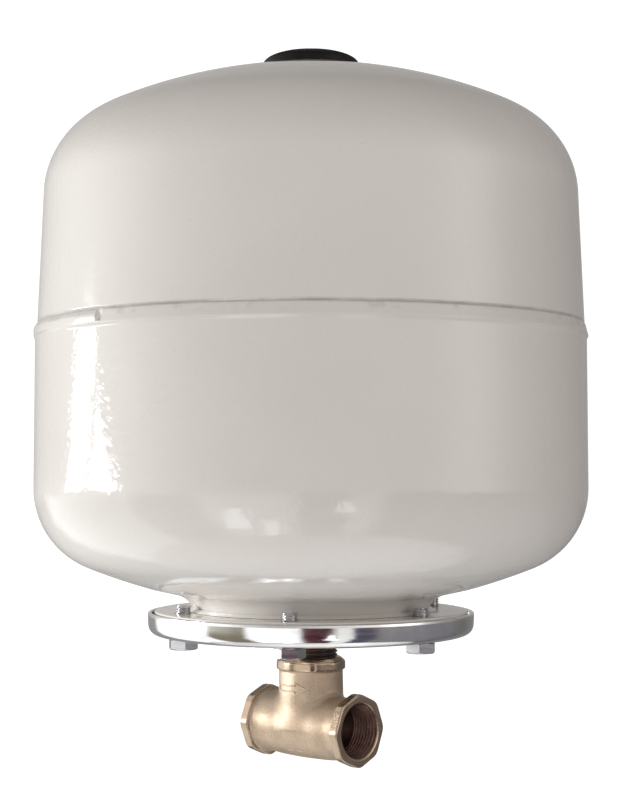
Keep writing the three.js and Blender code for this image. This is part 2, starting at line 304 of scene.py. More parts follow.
def enamel():
    look = Look("white_enamel", Specular_IOR_Level=0.5, Coat_Weight=0.3, Coat_Roughness=0.03)
    tone = look.blend(look.span(look.noise(9, 3), 0.35, 0.65), (0.738, 0.708, 0.674), (0.766, 0.740, 0.708))
    specks = look.span(look.noise(900, 2), 0.66, 0.72)
    tone = look.blend(look.times(specks, 0.22), tone, (0.52, 0.49, 0.46))
    tone = look.blend(look.times(look.hollows(0.485, 0.44), 0.35), tone, (0.50, 0.47, 0.43))
    high = look.node("ShaderNodeSeparateXYZ", {"Vector": look.coords}).outputs["Z"]
    # Painted shade: a dark line along the crease at the top of the seam band, with noisy strength.
    crease = look.times(look.span(high, 0.1961, 0.1971), look.span(high, 0.1986, 0.1978))
    crease_shade = look.times(crease, look.span(look.noise(160, 3), 0.25, 0.6, 0.1, 0.34))
    tone = look.blend(crease_shade, tone, (0.30, 0.28, 0.25))
    band = look.times(look.span(high, 0.1935, 0.1942), look.span(high, 0.1975, 0.1970))
    stains = look.times(band, look.span(look.noise(75, 3), 0.56, 0.66, 0.0, 0.4))
    tone = look.blend(stains, tone, (0.50, 0.48, 0.45))
    look.colour(tone)
    look.rough(look.span(look.noise(60, 3), 0.3, 0.7, 0.045, 0.085))
    look.bump(look.noise(14, 1), 1.0, 0.35)
    look.bump(look.noise(75, 2), 0.22, 0.4)
    look.bump(look.noise(240, 2), 0.26, 0.6)
    look.bump(look.noise(900, 2), 0.012, 0.5)
    return look.mat


def bright_zinc(name, base=(0.88, 0.885, 0.90), rough=(0.06, 0.15)):
    look = Look(name, Metallic=1.0)
    tone = look.blend(look.span(look.noise(70, 4), 0.35, 0.65), base, tuple(c * 0.86 for c in base))
    tone = look.blend(look.times(look.span(look.noise(25, 2), 0.5, 0.75), 0.3), tone, (0.62, 0.58, 0.50))
    tone = look.blend(look.times(look.hollows(), 0.5), tone, (0.30, 0.29, 0.28))
    look.colour(tone)
    streaks = look.noise(40, 5, stretch=(1, 1, 26))
    look.rough(look.span(streaks, 0.3, 0.75, *rough))
    look.bump(streaks, 0.02, 0.5)
    look.bump(look.noise(700, 3), 0.01, 0.6)
    return look.mat


def cast_brass():
    look = Look("cast_brass", Metallic=0.82)
    tone = look.blend(look.span(look.noise(55, 4), 0.35, 0.65), (0.585, 0.465, 0.35), (0.45, 0.35, 0.255))
    grain = look.span(look.noise(1500, 3), 0.5, 0.68)
    tone = look.blend(look.times(grain, 0.55), tone, (0.33, 0.225, 0.155))
    tone = look.blend(look.times(look.hollows(0.49, 0.42), 0.8), tone, (0.17, 0.10, 0.07))
    tone = look.blend(look.times(look.edges(0.53, 0.60), 0.6), tone, (0.88, 0.76, 0.62))
    look.colour(tone)
    look.rough(look.span(look.noise(300, 3), 0.3, 0.7, 0.38, 0.52))
    look.bump(look.noise(1400, 3), 0.10, 0.9)
    look.bump(look.noise(320, 2), 0.12, 0.6)
    return look.mat


def turned_brass(name="turned_brass", base=(0.74, 0.585, 0.35), rough=(0.14, 0.26)):
    look = Look(name, Metallic=1.0)
    tone = look.blend(look.span(look.noise(120, 3), 0.35, 0.7), base, tuple(c * 0.78 for c in base))
    tone = look.blend(look.times(look.hollows(), 0.7), tone, (0.22, 0.14, 0.08))
    tone = look.blend(look.times(look.edges(), 0.4), tone, (0.92, 0.82, 0.62))
    look.colour(tone)
    look.rough(look.span(look.noise(500, 3), 0.3, 0.7, *rough))
    look.bump(look.noise(900, 3), 0.02, 0.6)
    return look.mat


def bore_brass_painted_shade():
    look = Look("bore_brass_in_painted_shade", Metallic=0.9)
    # Near-black brass for the bores and threads: the dark base is painted shade inside the bores, and the
    # crests are a little lighter.
    mottle = look.span(look.noise(260, 3), 0.35, 0.65)
    tone = look.blend(mottle, (0.145, 0.08, 0.062), (0.09, 0.047, 0.040))
    tone = look.blend(look.times(look.edges(0.51, 0.58), 0.6), tone, (0.42, 0.27, 0.19))
    look.colour(tone)
    look.rough(look.span(look.noise(600, 3), 0.3, 0.7, 0.25, 0.42))
    look.bump(look.noise(1200, 3), 0.03, 0.6)
    return look.mat


def dark_steel():
    look = Look("dark_steel_painted_shade", Metallic=0.75)
    # The near-black base is painted shade under the flange; the brown patches and lighter edges stay as the
    # steel's own marks.
    mottle = look.span(look.noise(180, 4), 0.35, 0.65)
    tone = look.blend(mottle, (0.115, 0.090, 0.085), (0.07, 0.056, 0.056))
    tone = look.blend(look.times(look.edges(0.51, 0.58), 0.45), tone, (0.30, 0.24, 0.20))
    tone = look.blend(look.times(look.span(look.noise(90, 4), 0.55, 0.7), 0.5), tone, (0.16, 0.085, 0.05))
    look.colour(tone)
    look.rough(look.span(look.noise(400, 3), 0.3, 0.7, 0.30, 0.50))
    look.bump(look.noise(1100, 3), 0.03, 0.6)
    return look.mat


def moulded(name, dark, light, rough=(0.42, 0.6), grain=1400, depth=0.02):
    look = Look(name, Specular_IOR_Level=0.18)
    tone = look.blend(look.span(look.noise(150, 4), 0.35, 0.65), dark, light)
    worn = tuple(min(1, c * 1.9 + 0.02) for c in light)
    tone = look.blend(look.times(look.edges(0.515, 0.58), 0.5), tone, worn)
    look.colour(tone)
    look.rough(look.span(look.noise(500, 3), 0.3, 0.7, *rough))
    look.bump(look.cells(grain), depth, 0.5)
    return look.mat


LOOKS = {
    "enamel": enamel(),
    "zinc": bright_zinc("bright_zinc"),
    "bolt_zinc": bright_zinc("bolt_zinc", (0.66, 0.66, 0.70), (0.10, 0.20)),
    "cast": cast_brass(),
    "turned": turned_brass(),
    "machined": turned_brass("machined_brass", (0.50, 0.385, 0.28), (0.13, 0.24)),
    # brass made near-black as painted shade inside the tee's bores
    "thread": bore_brass_painted_shade(),
    # steel made near-black as painted shade under the flange
    "dark": dark_steel(),
    "black": moulded("black_plastic", (0.008, 0.0075, 0.008), (0.014, 0.013, 0.014)),
    "rubber": moulded("rubber", (0.020, 0.020, 0.021), (0.035, 0.034, 0.034), (0.65, 0.85), 700, 0.05),
    "white": moulded("natural_plastic", (0.74, 0.73, 0.69), (0.80, 0.79, 0.76)),
    "spring": bright_zinc("spring_wire", (0.60, 0.61, 0.63), (0.18, 0.32)),
}


def piece(obj, look, node, body="vessel"):
    """Dresses a finer piece, and lets it stand for its CAD node."""
    obj.data.materials.clear()
    for key in (look,) if isinstance(look, str) else look:
        obj.data.materials.append(LOOKS[key])
    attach(obj, body)
    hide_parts(node)


# ------------------------------------------------------------------ pressed shells
def bend_of(wall, knuckle, crown):
    return math.degrees(math.asin((wall - knuckle) / (crown - knuckle)))


def spline(points, count):
    """A smooth line through the points, evenly sampled along its length."""
    p = np.array(points, float)
    chord = np.concatenate([[0], np.cumsum(np.linalg.norm(np.diff(p, axis=0), axis=1))])
    fine = np.linspace(0, chord[-1], count)
    m = np.gradient(p, chord, axis=0)
    out = []
    for s in fine:
        i = min(np.searchsorted(chord, s, side="right") - 1, len(p) - 2)
        h = chord[i + 1] - chord[i]
        t = (s - chord[i]) / h
        q = ((2 * t**3 - 3 * t**2 + 1) * p[i] + (t**3 - 2 * t**2 + t) * h * m[i]
             + (-2 * t**3 + 3 * t**2) * p[i + 1] + (t**3 - t**2) * h * m[i + 1])
        out.append(tuple(q))
    return out


def upper_shell():
    u = UPPER
    bend = bend_of(u["top"], u["knuckle"], u["crown"])
    knuckle_z = u["centre"] + (u["crown"] - u["knuckle"]) * math.cos(math.radians(bend))
    lap = LOWER["seam"] - SHEET - 0.3
    foot = math.degrees(math.asin(53.0 / u["crown"]))
    crown = arc(0, u["centre"], u["crown"], 90 - bend, 90 - foot, 24)
    boss = spline([crown[-1], (48.5, 320.15), (44, 321.35), (40, 322.5), (36, 323.65), (33, 324.5),
                   (30, 325.2), (27.5, 325.65), (25, 325.8), (22, 325.8)], 30)
    dish = soften([(22, 325.8), (20.3, 325.8, 1.4), (18.2, 316.6, 2.0), (12, 316.0), (4.3, 316.0)],
                  False, 6)
    line = [(lap, SEAM_Z - 10), (lap, SEAM_Z - 1), (lap, SEAM_Z + 0.1), (u["seam"] - 0.15, SEAM_Z + 0.6)]
    draft = (u["top"] - u["seam"]) / (knuckle_z - SEAM_Z)
    for _, z in levels(0, SEAM_Z + 0.9, SEAM_Z + 2.4, 0.5) + levels(0, SEAM_Z + 8, knuckle_z - 4, 8):
        line.append((u["seam"] + draft * (z - SEAM_Z), z))
    line += arc(u["top"] - u["knuckle"], knuckle_z, u["knuckle"], 0, 90 - bend, 28)
    line += crown[1:] + boss[1:] + dish[1:]
    skin = revolve("upper_shell_skin", sheet_loop(line, SHEET), 288)
    piece(skin, "enamel", "upper_shell")


def lower_shell():
    low = LOWER
    bend = bend_of(low["bottom"], low["knuckle"], low["crown"])
    knuckle_z = low["centre"] - (low["crown"] - low["knuckle"]) * math.cos(math.radians(bend))
    leave = math.degrees(math.asin(80.0 / low["crown"]))
    crown = arc(0, low["centre"], low["crown"], bend - 90, leave - 90, 16)
    neck = spline([crown[-1], (75, 67.0), (70, 65.85), (66, 64.75), (63.3, 63.4), (61.2, 61.8),
                   (59.6, 60.0), (58.5, 58.5), (58.05, 57.2)], 28)
    seam, rim, z = low["seam"], low["seam"] + RIM_FLARE, SEAM_Z
    line = [(rim - 0.2, z - 5.7), (rim - 0.02, z - 6.0), (rim - 0.02, z - 6.3), (rim - 0.2, z - 6.7),
            (rim - 0.5, z - 7.0), (seam + 0.08, z - 7.5), (seam, z - 8.0), (seam, z - 8.3)]
    line += [(seam + 0.2 * t, z - 16 + (knuckle_z - z + 20) * t) for t in np.linspace(0, 1, 8)]
    line += arc(low["bottom"] - low["knuckle"], knuckle_z, low["knuckle"], 0, -(90 - bend), 28)
    line += crown[1:] + neck[1:]
    skin = revolve("lower_shell_skin", sheet_loop(line, -SHEET), 288)
    piece(skin, "enamel", "lower_shell")


def wandering(theta, seed, waves, lowest):
    """A smooth closed random curve round the seam, about -1 to 1."""
    source = np.random.default_rng(seed)
    total = np.zeros_like(theta)
    for k in range(lowest, lowest + waves):
        total = total + source.normal() * np.cos(k * theta + source.uniform(0, TAU))
    return total / math.sqrt(waves)


def seam_weld():
    """The band over the lower rim: a rounder bead up to the weld's stop, then a flat, patchy one."""
    low, z = LOWER, SEAM_Z
    inner, outer = low["seam"] - SHEET + 0.05, low["seam"] + RIM_FLARE
    face = [(0.35, 6.1), (0.02, 5.95), (0.08, 5.6), (0.2, 5.1), (0.36, 4.5), (0.53, 3.9), (0.7, 3.2),
            (0.86, 2.5), (1.02, 1.8), (1.2, 1.1), (1.4, 0.6), (1.62, 0.35)]
    loop = [(inner, z - 6.1)] + [(outer - back, z - down) for back, down in face] + [(inner + 0.1, z - 0.3)]

    def bead(theta, r, height):
        weight = np.clip((r - inner - 0.12) / 0.3, 0, 1)
        middle = np.exp(-(((height - z + 3.6) / 2.0) ** 2))
        to_stop = (theta - WELD_STOP + math.pi) % TAU - math.pi
        round_part = np.clip(-to_stop / 0.01, 0, 1) * np.clip((to_stop + 1.1) / 0.1, 0, 1)
        ripple = wandering(theta, 3, 60, 40) * 0.022 + wandering(theta, 5, 12, 3) * 0.05
        chips = np.clip(wandering(theta, 9, 40, 60) * 1.5 - 0.8, 0, 1)
        chips = chips * np.exp(-(((height - z + 2.2) / 1.4) ** 2))
        notch = np.exp(-((to_stop / 0.0105) ** 4)) * np.clip((height - z + 6.0) / 0.8, 0, 1)
        change = ripple * (1 - 0.8 * round_part) - 0.14 * chips + 0.95 * round_part * middle - 1.3 * notch
        return np.clip(r + weight * change, inner + 0.1 * weight, np.where(weight > 0, outer, r))

    piece(revolve("seam_weld_bead_skin", loop, 2160, bead, 60), "enamel", "seam_weld_bead")


def neck_weld():
    z = COUNTER_TOP
    loop = [(58.0, z + 0.1), (61.4, z + 0.1), (60.9, z + 0.55), (60.3, z + 0.95), (59.7, z + 1.35),
            (59.2, z + 1.7), (58.6, z + 1.7)]

    def bead(theta, r, height):
        return r + wandering(theta, 11, 50, 30) * 0.12 * np.clip((r - 58.8) / 2, 0, 1)

    piece(revolve("neck_weld_bead_skin", loop, 720, bead, 60), "enamel", "neck_weld_bead")


# ------------------------------------------------------------------ flange
def bolt_places():
    return [(BOLT_R * math.cos(BOLT_PHASE + k * TAU / 6), BOLT_R * math.sin(BOLT_PHASE + k * TAU / 6))
            for k in range(6)]


def cover_flange():
    z = FLANGE_Z
    outer = [(73.0, z), (76.0, z + 0.15), (78.1, z + 0.9), (79.5, z + 2.2), (80.2, z + 3.8),
             (80.45, z + 5.8), (80.55, z + 8.0), (RIM_R, z + 9.8)]
    edge = [(RIM_R - 0.1, RIM_Z - 0.5), (RIM_R - 0.6, RIM_Z - 0.1), (RIM_R - 1.1, RIM_Z),
            (RIM_R - 1.6, RIM_Z - 0.15), (RIM_R - 1.95, RIM_Z - 0.6)]
    inner = [(78.6, z + 8.4), (78.2, z + 6.4), (77.4, z + 4.6), (76.1, z + 3.1), (74.7, z + 2.3),
             (73.0, z + 2)]
    bore_foot, bore_top = (13.5, z, 0.4), (13.5, z + 2, 0.3)
    loop = soften([bore_foot] + spline(outer, 28) + edge + spline(inner, 20) + [bore_top])
    flange = revolve("cover_flange_skin", loop, 240)
    drill(flange, bolt_places(), 4.3, z - 2, z + 4)
    piece(flange, "zinc", "cover_flange")


def counter_flange():
    z, top = 49.9, COUNTER_TOP
    loop = soften([(50.5, z, 0.4), (74.8, z, 1.0), (77.4, z + 2.6, 1.0), (77.4, top, 0.9),
                   (50.5, top, 0.4)])
    flange = revolve("counter_flange_skin", loop, 192)
    drill(flange, bolt_places(), 4.2, z - 2, top + 2)
    piece(flange, "enamel", "counter_flange")


def flange_bolt(index, x, y):
    """An M8 hexagon bolt, head down, with its last turns of thread above the flange."""
    top, bottom, tip = 44.9, 39.6, 60.8
    across = hexagon(BOLT_HEAD, BOLT_TWIST[index])
    chamfer = [(6.15 + 1.35 * t, bottom + 0.75 * t) for t in np.linspace(0, 1, 9)]
    loop = [(0, bottom + 0.25), (4.6, bottom + 0.25), (5.2, bottom), (6.0, bottom)] + chamfer
    loop += levels(BOLT_CORNER, bottom + 1.1, top - 0.9, 0.8)
    loop += [(BOLT_CORNER - 1.25 * t, top - 0.7 + 0.4 * t) for t in np.linspace(0, 1, 6)]
    loop += [(6.1, top - 0.05), (5.9, top), (4.1, top), (3.9, top + 0.3)]
    thread = levels(3.95, top + 0.6, tip - 0.7, 0.125)
    loop += thread + [(3.6, tip - 0.35), (3.2, tip), (0, tip)]

    def shape(theta, r, z):
        head = np.minimum(r, across(theta))
        run = thread_form(z / BOLT_PITCH - theta / TAU)
        cut = np.where((z > top + 0.5) & (z < tip - 0.2), np.minimum(r, 3.3 + 0.65 * run), r)
        return np.where(z < top + 0.01, head, cut)

    bolt = revolve(f"flange_bolt_{index + 1}_fine", loop, 72, shape, 32, BOLT_TWIST[index])
    bolt.data.transform(Matrix.Translation((x * MM, y * MM, 0)))
    piece(bolt, "bolt_zinc", f"flange_bolt_{index + 1}")


# ------------------------------------------------------------------ water connection
def nipple():
    """A G 3/4 tail, 26.4 mm over the crests, bare towards the flange."""
    loop = [(10.2, 18.6), (11.6, 18.6), (12.0, 19.2)] + levels(12.0, 20, 34, 3)
    loop += levels(13.2, 34.6, 43.2, 0.1)
    loop += [(12.3, 43.6), (12.3, 44.2), (13.1, 44.6), (13.2, 45.0), (13.2, 49.1), (12.9, 49.4),
             (10.4, 49.4), (10.2, 49.2)]

    def shape(theta, r, z):
        run = 12.1 + 1.08 * thread_form(z / PIPE_PITCH - theta / TAU)
        fade = np.clip((43.3 - z) / 1.2, 0, 1)
        threaded = (r > 12.5) & (z > 34.5) & (z < 43.3)
        return np.where(threaded, 12.3 + (run - 12.3) * fade, r)

    # The nipple's near-black steel is painted shade under the flange.
    piece(revolve("connection_nipple_fine", loop, 96, shape, 40), "dark", "connection_nipple")


def smin(a, b, k):
    h = np.maximum(k - np.abs(a - b), 0) / k
    return np.minimum(a, b) - h * h * k / 4


def smax(a, b, k):
    return -smin(-a, -b, k)


def octagon_collar(u, v, along, corner_r, lo, hi, fuller):
    """Distance to an octagon between two planes, with rounded corners and fuller flats than a plain one."""
    radial = np.hypot(u, v)
    folded = (np.arctan2(v, u) % (TAU / 8)) - TAU / 16
    flat = radial * np.cos(folded) - corner_r * math.cos(TAU / 16) - fuller
    body = smax(flat, radial - corner_r, 0.5)
    return smax(body, np.maximum(lo - along, along - hi), 0.8)


def tee_field(step):
    """Signed distance to the tee on a regular grid, with the grid's first corner."""
    low, high = np.array([-33.0, -19.0, -19.0]), np.array([33.0, 19.0, 35.0])
    axes = [np.arange(low[i], high[i] + step, step, dtype=np.float32) for i in range(3)]
    x, y, z = np.meshgrid(*axes, indexing="ij")
    across, around = np.hypot(y, z), np.hypot(x, y)
    end = np.abs(x)
    swell = 0.45 * np.exp(-((x / 14.0) ** 2)) - 0.5 * np.exp(-(((end - 21.5) / 4.5) ** 2))
    run = smax(across - 15.6 - swell, end - 30.5, 0.5)
    branch = smax(around - 15.75 - 0.25 * np.clip((28 - z) / 12, 0, 1), np.maximum(z - 31.0, -z), 0.5)
    body = smin(run, branch, 3.2)
    body = smin(body, octagon_collar(y, z, end, TEE_CORNER, 27.0, TEE_HALF, 0.5), 1.4)
    top = octagon_collar(x, y, z, 17.0, 27.7, TEE_TOP, 0.8)
    top = smax(top, (around - 17.1 + (z - 31.7) * 1.15) * 0.66, 0.5)
    body = smin(body, top, 1.0)

    # The bores: threads cut in from the ends, the waterway between them and a bevel at each mouth.
    turns = x / PIPE_PITCH - np.arctan2(z, y) / TAU
    thread = across - 12.1 - (0.5 + 0.5 * np.cos(TAU * turns)) * np.clip((end - 16.5) / 2, 0, 1)
    bore = np.minimum(thread * 0.5, across - WATERWAY_R)
    bore = np.minimum(bore, (across - 13.9 + (TEE_HALF - end) * 1.3) * 0.61)
    top_turns = z / PIPE_PITCH - np.arctan2(y, x) / TAU
    top_thread = np.maximum((around - 12.6 - 0.6 * np.cos(TAU * top_turns)) * 0.5, 15.5 - z)
    top_bore = np.minimum(np.maximum(around - 10.8, -z), top_thread)
    top_bore = np.minimum(top_bore, (around - 13.75 + (TEE_TOP - z) * 1.2) * 0.64)
    body = smax(body, -bore, 0.2)
    body = smax(body, -top_bore, 0.2)
    return body, low


def flow_arrow():
    """The cast outline of the flow arrow: a thin raised bead round the front of the branch."""
    corners = [(-8.2, -1.4), (3.2, -1.4), (3.2, -3.0), (9.2, 0), (3.2, 3.0), (3.2, 1.4), (-8.2, 1.4)]
    middle_z, wall_r, bend_r = 19.2, 16.12, 16.0
    sides, radius = 8, 0.42
    verts, faces, path = [], [], []
    for (ax, az), (bx, bz) in zip(corners, corners[1:] + corners[:1]):
        for t in np.arange(0, 1, 0.35 / math.hypot(bx - ax, bz - az)):
            path.append((ax + (bx - ax) * t, az + (bz - az) * t))
    n = len(path)
    spots = [Vector((wall_r * math.sin(s / bend_r), -wall_r * math.cos(s / bend_r), middle_z + h))
             for s, h in path]
    for i, spot in enumerate(spots):
        out = Vector((spot.x, spot.y, 0)).normalized()
        along = (spots[(i + 1) % n] - spots[i - 1]).normalized()
        side = along.cross(out).normalized()
        for k in range(sides):
            a = k * TAU / sides
            verts.append(spot + out * (radius * 0.8 * math.cos(a)) + side * (radius * math.sin(a)))
            j, m = (i + 1) % n, (k + 1) % sides
            faces.append((i * sides + k, i * sides + m, j * sides + m, j * sides + k))
    return [tuple(v) for v in verts], faces


def tee():
    step = 0.26
    reach = 2.0  # how far from the surface the distances are kept
    field, low = tee_field(step)
    grid = openvdb.FloatGrid(reach)
    grid.copyFromArray(np.clip(field, -reach, reach).astype(np.float64), tolerance=0.0)
    points, quads = grid.convertToQuads(0.0)
    verts = points * step + low
    corner = verts[quads]
    across_quad = np.cross(corner[:, 2] - corner[:, 0], corner[:, 3] - corner[:, 1])
    if np.einsum("ij,ij->", across_quad, corner.mean(1)) < 0:
        quads = quads[:, ::-1]
    bead, bead_faces = flow_arrow()
    base = len(verts)
    faces = [tuple(q) for q in quads.tolist()] + [tuple(base + i for i in f) for f in bead_faces]
    obj = mesh_object("tee_body_cast", np.vstack([verts, bead]), faces, 180)
    # The bores get the third material, whose near-black colour is painted shade.
    piece(obj, ("cast", "machined", "thread"), "tee_body")
    mesh = obj.data
    centres = np.empty(len(mesh.polygons) * 3)
    mesh.polygons.foreach_get("center", centres)
    x, y, z = centres.reshape(-1, 3).T / MM
    across, around, end = np.hypot(y, z), np.hypot(x, y), np.abs(x)
    machined, threaded = 1, 2
    kind = np.zeros(len(x), int)
    kind[(end > 27.1) & (across > 13.2)] = machined
    kind[(z > 27.8) & (around > 12.8)] = machined
    kind[(across < 13.4) & (end < TEE_HALF - 0.4) & (end > 10)] = threaded
    kind[across < WATERWAY_R + 0.3] = threaded
    kind[(around < 13.5) & (z > 9) & (z < 32.6)] = threaded
    mesh.polygons.foreach_set("material_index", kind)
    mesh.update()


# ------------------------------------------------------------------ gas valve and caps
def cover_cap():
    """The black round cap, with fine ribs down its shoulder and a spigot that sits in the dish."""
    dome = spline([(24.2, 329.4), (23.9, 330.4), (22.9, 331.5), (21.6, 332.3), (20, 333.0), (18, 333.65),
                   (15.7, 334.2), (13.3, 334.65), (10.4, 335.0), (6.6, 335.3), (4, 335.42)], 44)
    loop = [(0, 335.45), (2, 335.45)] + dome[::-1] + soften(
        [(24.3, 328.6), (24.5, 326.1, 0.5), (22.6, 326.1, 0.4), (22.6, 329.4, 1.0), (17.6, 331.9, 0.8),
         (17.6, 321.0, 0.6), (16.2, 321.0, 0.4), (16.2, 332.3, 1.2), (10, 333.5)], False) + [(0, 333.7)]
    across = np.arange(0, 25, 0.1)
    crest = 330.2 + 5.35 * np.sqrt(np.clip(1 - (across / 24.75) ** 2, 0, 1))

    def ribs(theta, r, z):
        outside = z > np.interp(r, across, crest) - 0.9
        weight = np.clip((r - 13.5) / 1.5, 0, 1) * np.clip((z - 328.0) / 1.0, 0, 1) * outside
        return r - 0.5 * weight * (0.5 + 0.5 * np.cos(120 * theta))

    cap = revolve("cover_cap_fine", loop, 960, ribs, 45)
    piece(cap, "black", "cover_cap", "cover_cap")


def dust_cap():
    loop = [(0, 331.8), (4.2, 331.8), (4.9, 331.55), (5.25, 331)] + levels(5.4, 330.6, 322.2, 0.6)
    loop += [(5.3, 321.7), (5.1, 321.4), (4.3, 321.4), (4.15, 321.7), (4.15, 330), (3.9, 330.3), (0, 330.3)]

    def knurl(theta, r, z):
        weight = np.clip((330.6 - z) / 0.8, 0, 1) * np.clip((z - 322.4) / 0.8, 0, 1) * (r > 5)
        return r - 0.28 * weight * (0.5 + 0.5 * np.cos(30 * theta))

    piece(revolve("dust_cap_fine", loop, 240, knurl, 45), "black", "dust_cap", "dust_cap")


def valve_body():
    loop = soften([(2.2, 310.2), (8.5, 310.2, 0.4), (8.5, 312.7, 0.3), (4.0, 312.7)], False)
    loop += levels(4.0, 313, 328.4, 0.1)
    loop += [(3.45, 328.8), (3.2, 329), (2.95, 329), (2.75, 328.8), (2.75, 320.4), (2.2, 318.4)]

    def shape(theta, r, z):
        threaded = (r > 3.5) & (z > 313.2) & (z < 328.45)
        run = 3.4 + 0.5 * thread_form(z / VALVE_PITCH - theta / TAU)
        return np.where(threaded, np.minimum(r, run), r)

    piece(revolve("valve_body_fine", loop, 64, shape, 40), "turned", "valve_body")


def valve_nut():
    twist, low, top = math.radians(10), 316.3, 320.6
    across = hexagon(BOLT_HEAD, twist)
    steps = np.linspace(0, 1, 7)
    outer = [(6.2 + 1.3 * t, low + 0.7 * t) for t in steps] + levels(BOLT_CORNER, low + 1, top - 1, 0.8)
    outer += [(7.5 - 1.3 * t, top - 0.7 + 0.7 * t) for t in steps]
    loop = [(4.3, low + 0.4), (4.7, low)] + outer + [(4.7, top), (4.3, top - 0.4)]

    def shape(theta, r, z):
        return np.minimum(r, across(theta))

    piece(revolve("valve_nut_fine", loop, 96, shape, 32, twist), "bolt_zinc", "valve_nut")


def valve_core():
    plug = soften([(0.95, 323.5), (2.1, 323.5), (2.45, 324), (2.45, 326.8, 0.15), (1.9, 326.8),
                   (1.9, 328.3, 0.2), (0.95, 328.3, 0.15)])
    piece(revolve("core_plug_fine", plug, 64), "turned", "core_plug")
    barrel = soften([(0.95, 315.5, 0.1), (1.6, 315.5, 0.2), (1.85, 316), (1.85, 323.2, 0.15), (1.45, 323.2),
                     (1.45, 316.3), (0.95, 316.3)])
    piece(revolve("core_barrel_fine", barrel, 64), "turned", "core_barrel")
    pin = soften([(0, 312.6), (0.65, 312.6, 0.2), (0.65, 313.2), (1.9, 313.2, 0.2), (1.9, 315.2, 0.1),
                  (1.75, 315.2), (1.75, 314.2), (0.65, 314.2), (0.65, 322.5), (1.3, 322.5, 0.15),
                  (1.3, 323.1, 0.15), (0.65, 323.1), (0.65, 328.6, 0.3), (0, 328.6)], False)
    piece(revolve("valve_pin_fine", pin, 48), "turned", "valve_pin", "valve_pin")
    coils, coil_r, foot, height = 5, 1.1, 316.62, 5.56
    angles = np.linspace(0, coils * TAU, 241)
    path = [(coil_r * math.cos(a), coil_r * math.sin(a), foot + height * a / (coils * TAU)) for a in angles]
    spring = tube("core_spring_fine", path, 0.15)
    spring.data.materials.append(LOOKS["spring"])
    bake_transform(spring)
    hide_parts("core_spring")


def membrane():
    """One moulded skin from the clamped lip to the crown; the bag rises with the water in it."""
    bag = spline([(49.2, 49.6), (49, 58), (50.5, 68), (57, 82), (69, 98), (77, 116), (79.5, 136), (75, 156),
                  (63, 173), (44, 184), (22, 189.2), (4, 190)], 64)
    inside = offset(bag, 2.0)
    loop = [(0, 190)] + bag[::-1] + [(57, 49.6), (57, 47.5), (47.2, 47.5)] + inside + [(0, 188)]
    skin = revolve("membrane_skin", loop, 144)
    skin.data.materials.append(LOOKS["rubber"])
    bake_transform(skin)
    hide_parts("membrane")


def carried_over():
    """Small hidden nodes keep their CAD shape and get a material of their own."""
    looks = {"thread_seal": "white", "flow_diverter": "white", "nipple_weld_bead": "dark",
             "valve_gasket": "rubber", "core_gasket": "white", "seat_washer": "rubber",
             "dust_cap_seal": "rubber"}
    for node, look in looks.items():
        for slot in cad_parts[node].material_slots:
            slot.material = LOOKS[look]


# ------------------------------------------------------------------ studio
ROOM_LEFT = (0.49, 0.474, 0.459)
ROOM_RIGHT = (0.19, 0.180, 0.173)
CEILING = (0.17, 0.165, 0.16)
BACKDROP = (1.15, 1.15, 1.15)
# Soft bright parts of the room: azimuth, elevation, their spreads, all in degrees, and colour. The first
# lot ends where the low things of the room begin, the second shines in front of them.
FAR_GLOWS = [(-95, 12, 25, 13, (1.50, 1.48, 1.45)), (52, 10, 30, 24, (0.80, 0.757, 0.72)),
             (67, 6, 11, 16, (1.0, 0.96, 0.93))]
NEAR_GLOWS = [(-88, -2, 22, 5, (1.0, 1.0, 1.0)), (-101, 8.6, 3.2, 0.12, (7.0, 7.0, 7.0))]
# Panes of the windows: azimuth at the foot, half width there, how much narrower at the top, lean in degrees
# per degree up, the elevations spanned, and brightness. The last three are mirrored low in front.
PANES = [(-111.5, 6.2, 0.10, 1.4, -2.2, 5.3, 13.0), (-90.3, 10.2, 0.95, -0.9, -1.8, 2.5, 13.0),
         (-35.0, 5.4, 0.2, 0.15, -46.0, -21.0, 2.3), (-21.0, 4.4, 0.2, 0.15, -56.0, -36.0, 1.9),
         (14.0, 4.8, 0.7, 0.0, -27.0, -12.0, 2.4)]
# What stands low in the room, from behind on the left round to behind on the right: degrees and colour.
LOW_ROOM = [(-180, (0.30, 0.30, 0.29)), (-142, (0.32, 0.32, 0.31)), (-134, (1.34, 1.34, 1.34)),
            (-50, (1.22, 1.22, 1.22)), (-42, (1.25, 1.25, 1.24)), (-9, (1.25, 1.25, 1.22)),
            (-5, (0.09, 0.02, 0.03)), (14, (0.06, 0.02, 0.03)), (18, (1.0, 1.02, 0.96)),
            (27, (0.95, 0.96, 0.93)), (31, (0.08, 0.07, 0.11)), (43, (0.10, 0.09, 0.12)),
            (50, (0.26, 0.25, 0.26)), (100, (0.23, 0.22, 0.24)), (130, (0.15, 0.15, 0.14)),
            (180, (0.28, 0.28, 0.27))]
SHADE = (-61.5, 15.5, 0.0, 0.0, -70.0, -4.5)  # a dark olive thing there, given like a pane
OLIVE = (0.235, 0.212, 0.145)
CAMERA_AWAY, CAMERA_HIGH = 0.8344, 0.1241  # metres from the axis and above the tee's
CAMERA_PITCH = 0.044  # radians up
FLOOR_TOP, FLOOR_R = -1100, 950  # mm


def direction(azimuth_deg, elevation_deg=0.0):
    """Unit vector from the object: 0 is towards the camera, positive to the picture's right."""
    a = math.radians(VIEW_DEG - 90 + azimuth_deg)
    e = math.radians(elevation_deg)
    return Vector((math.cos(a) * math.cos(e), math.sin(a) * math.cos(e), math.sin(e)))


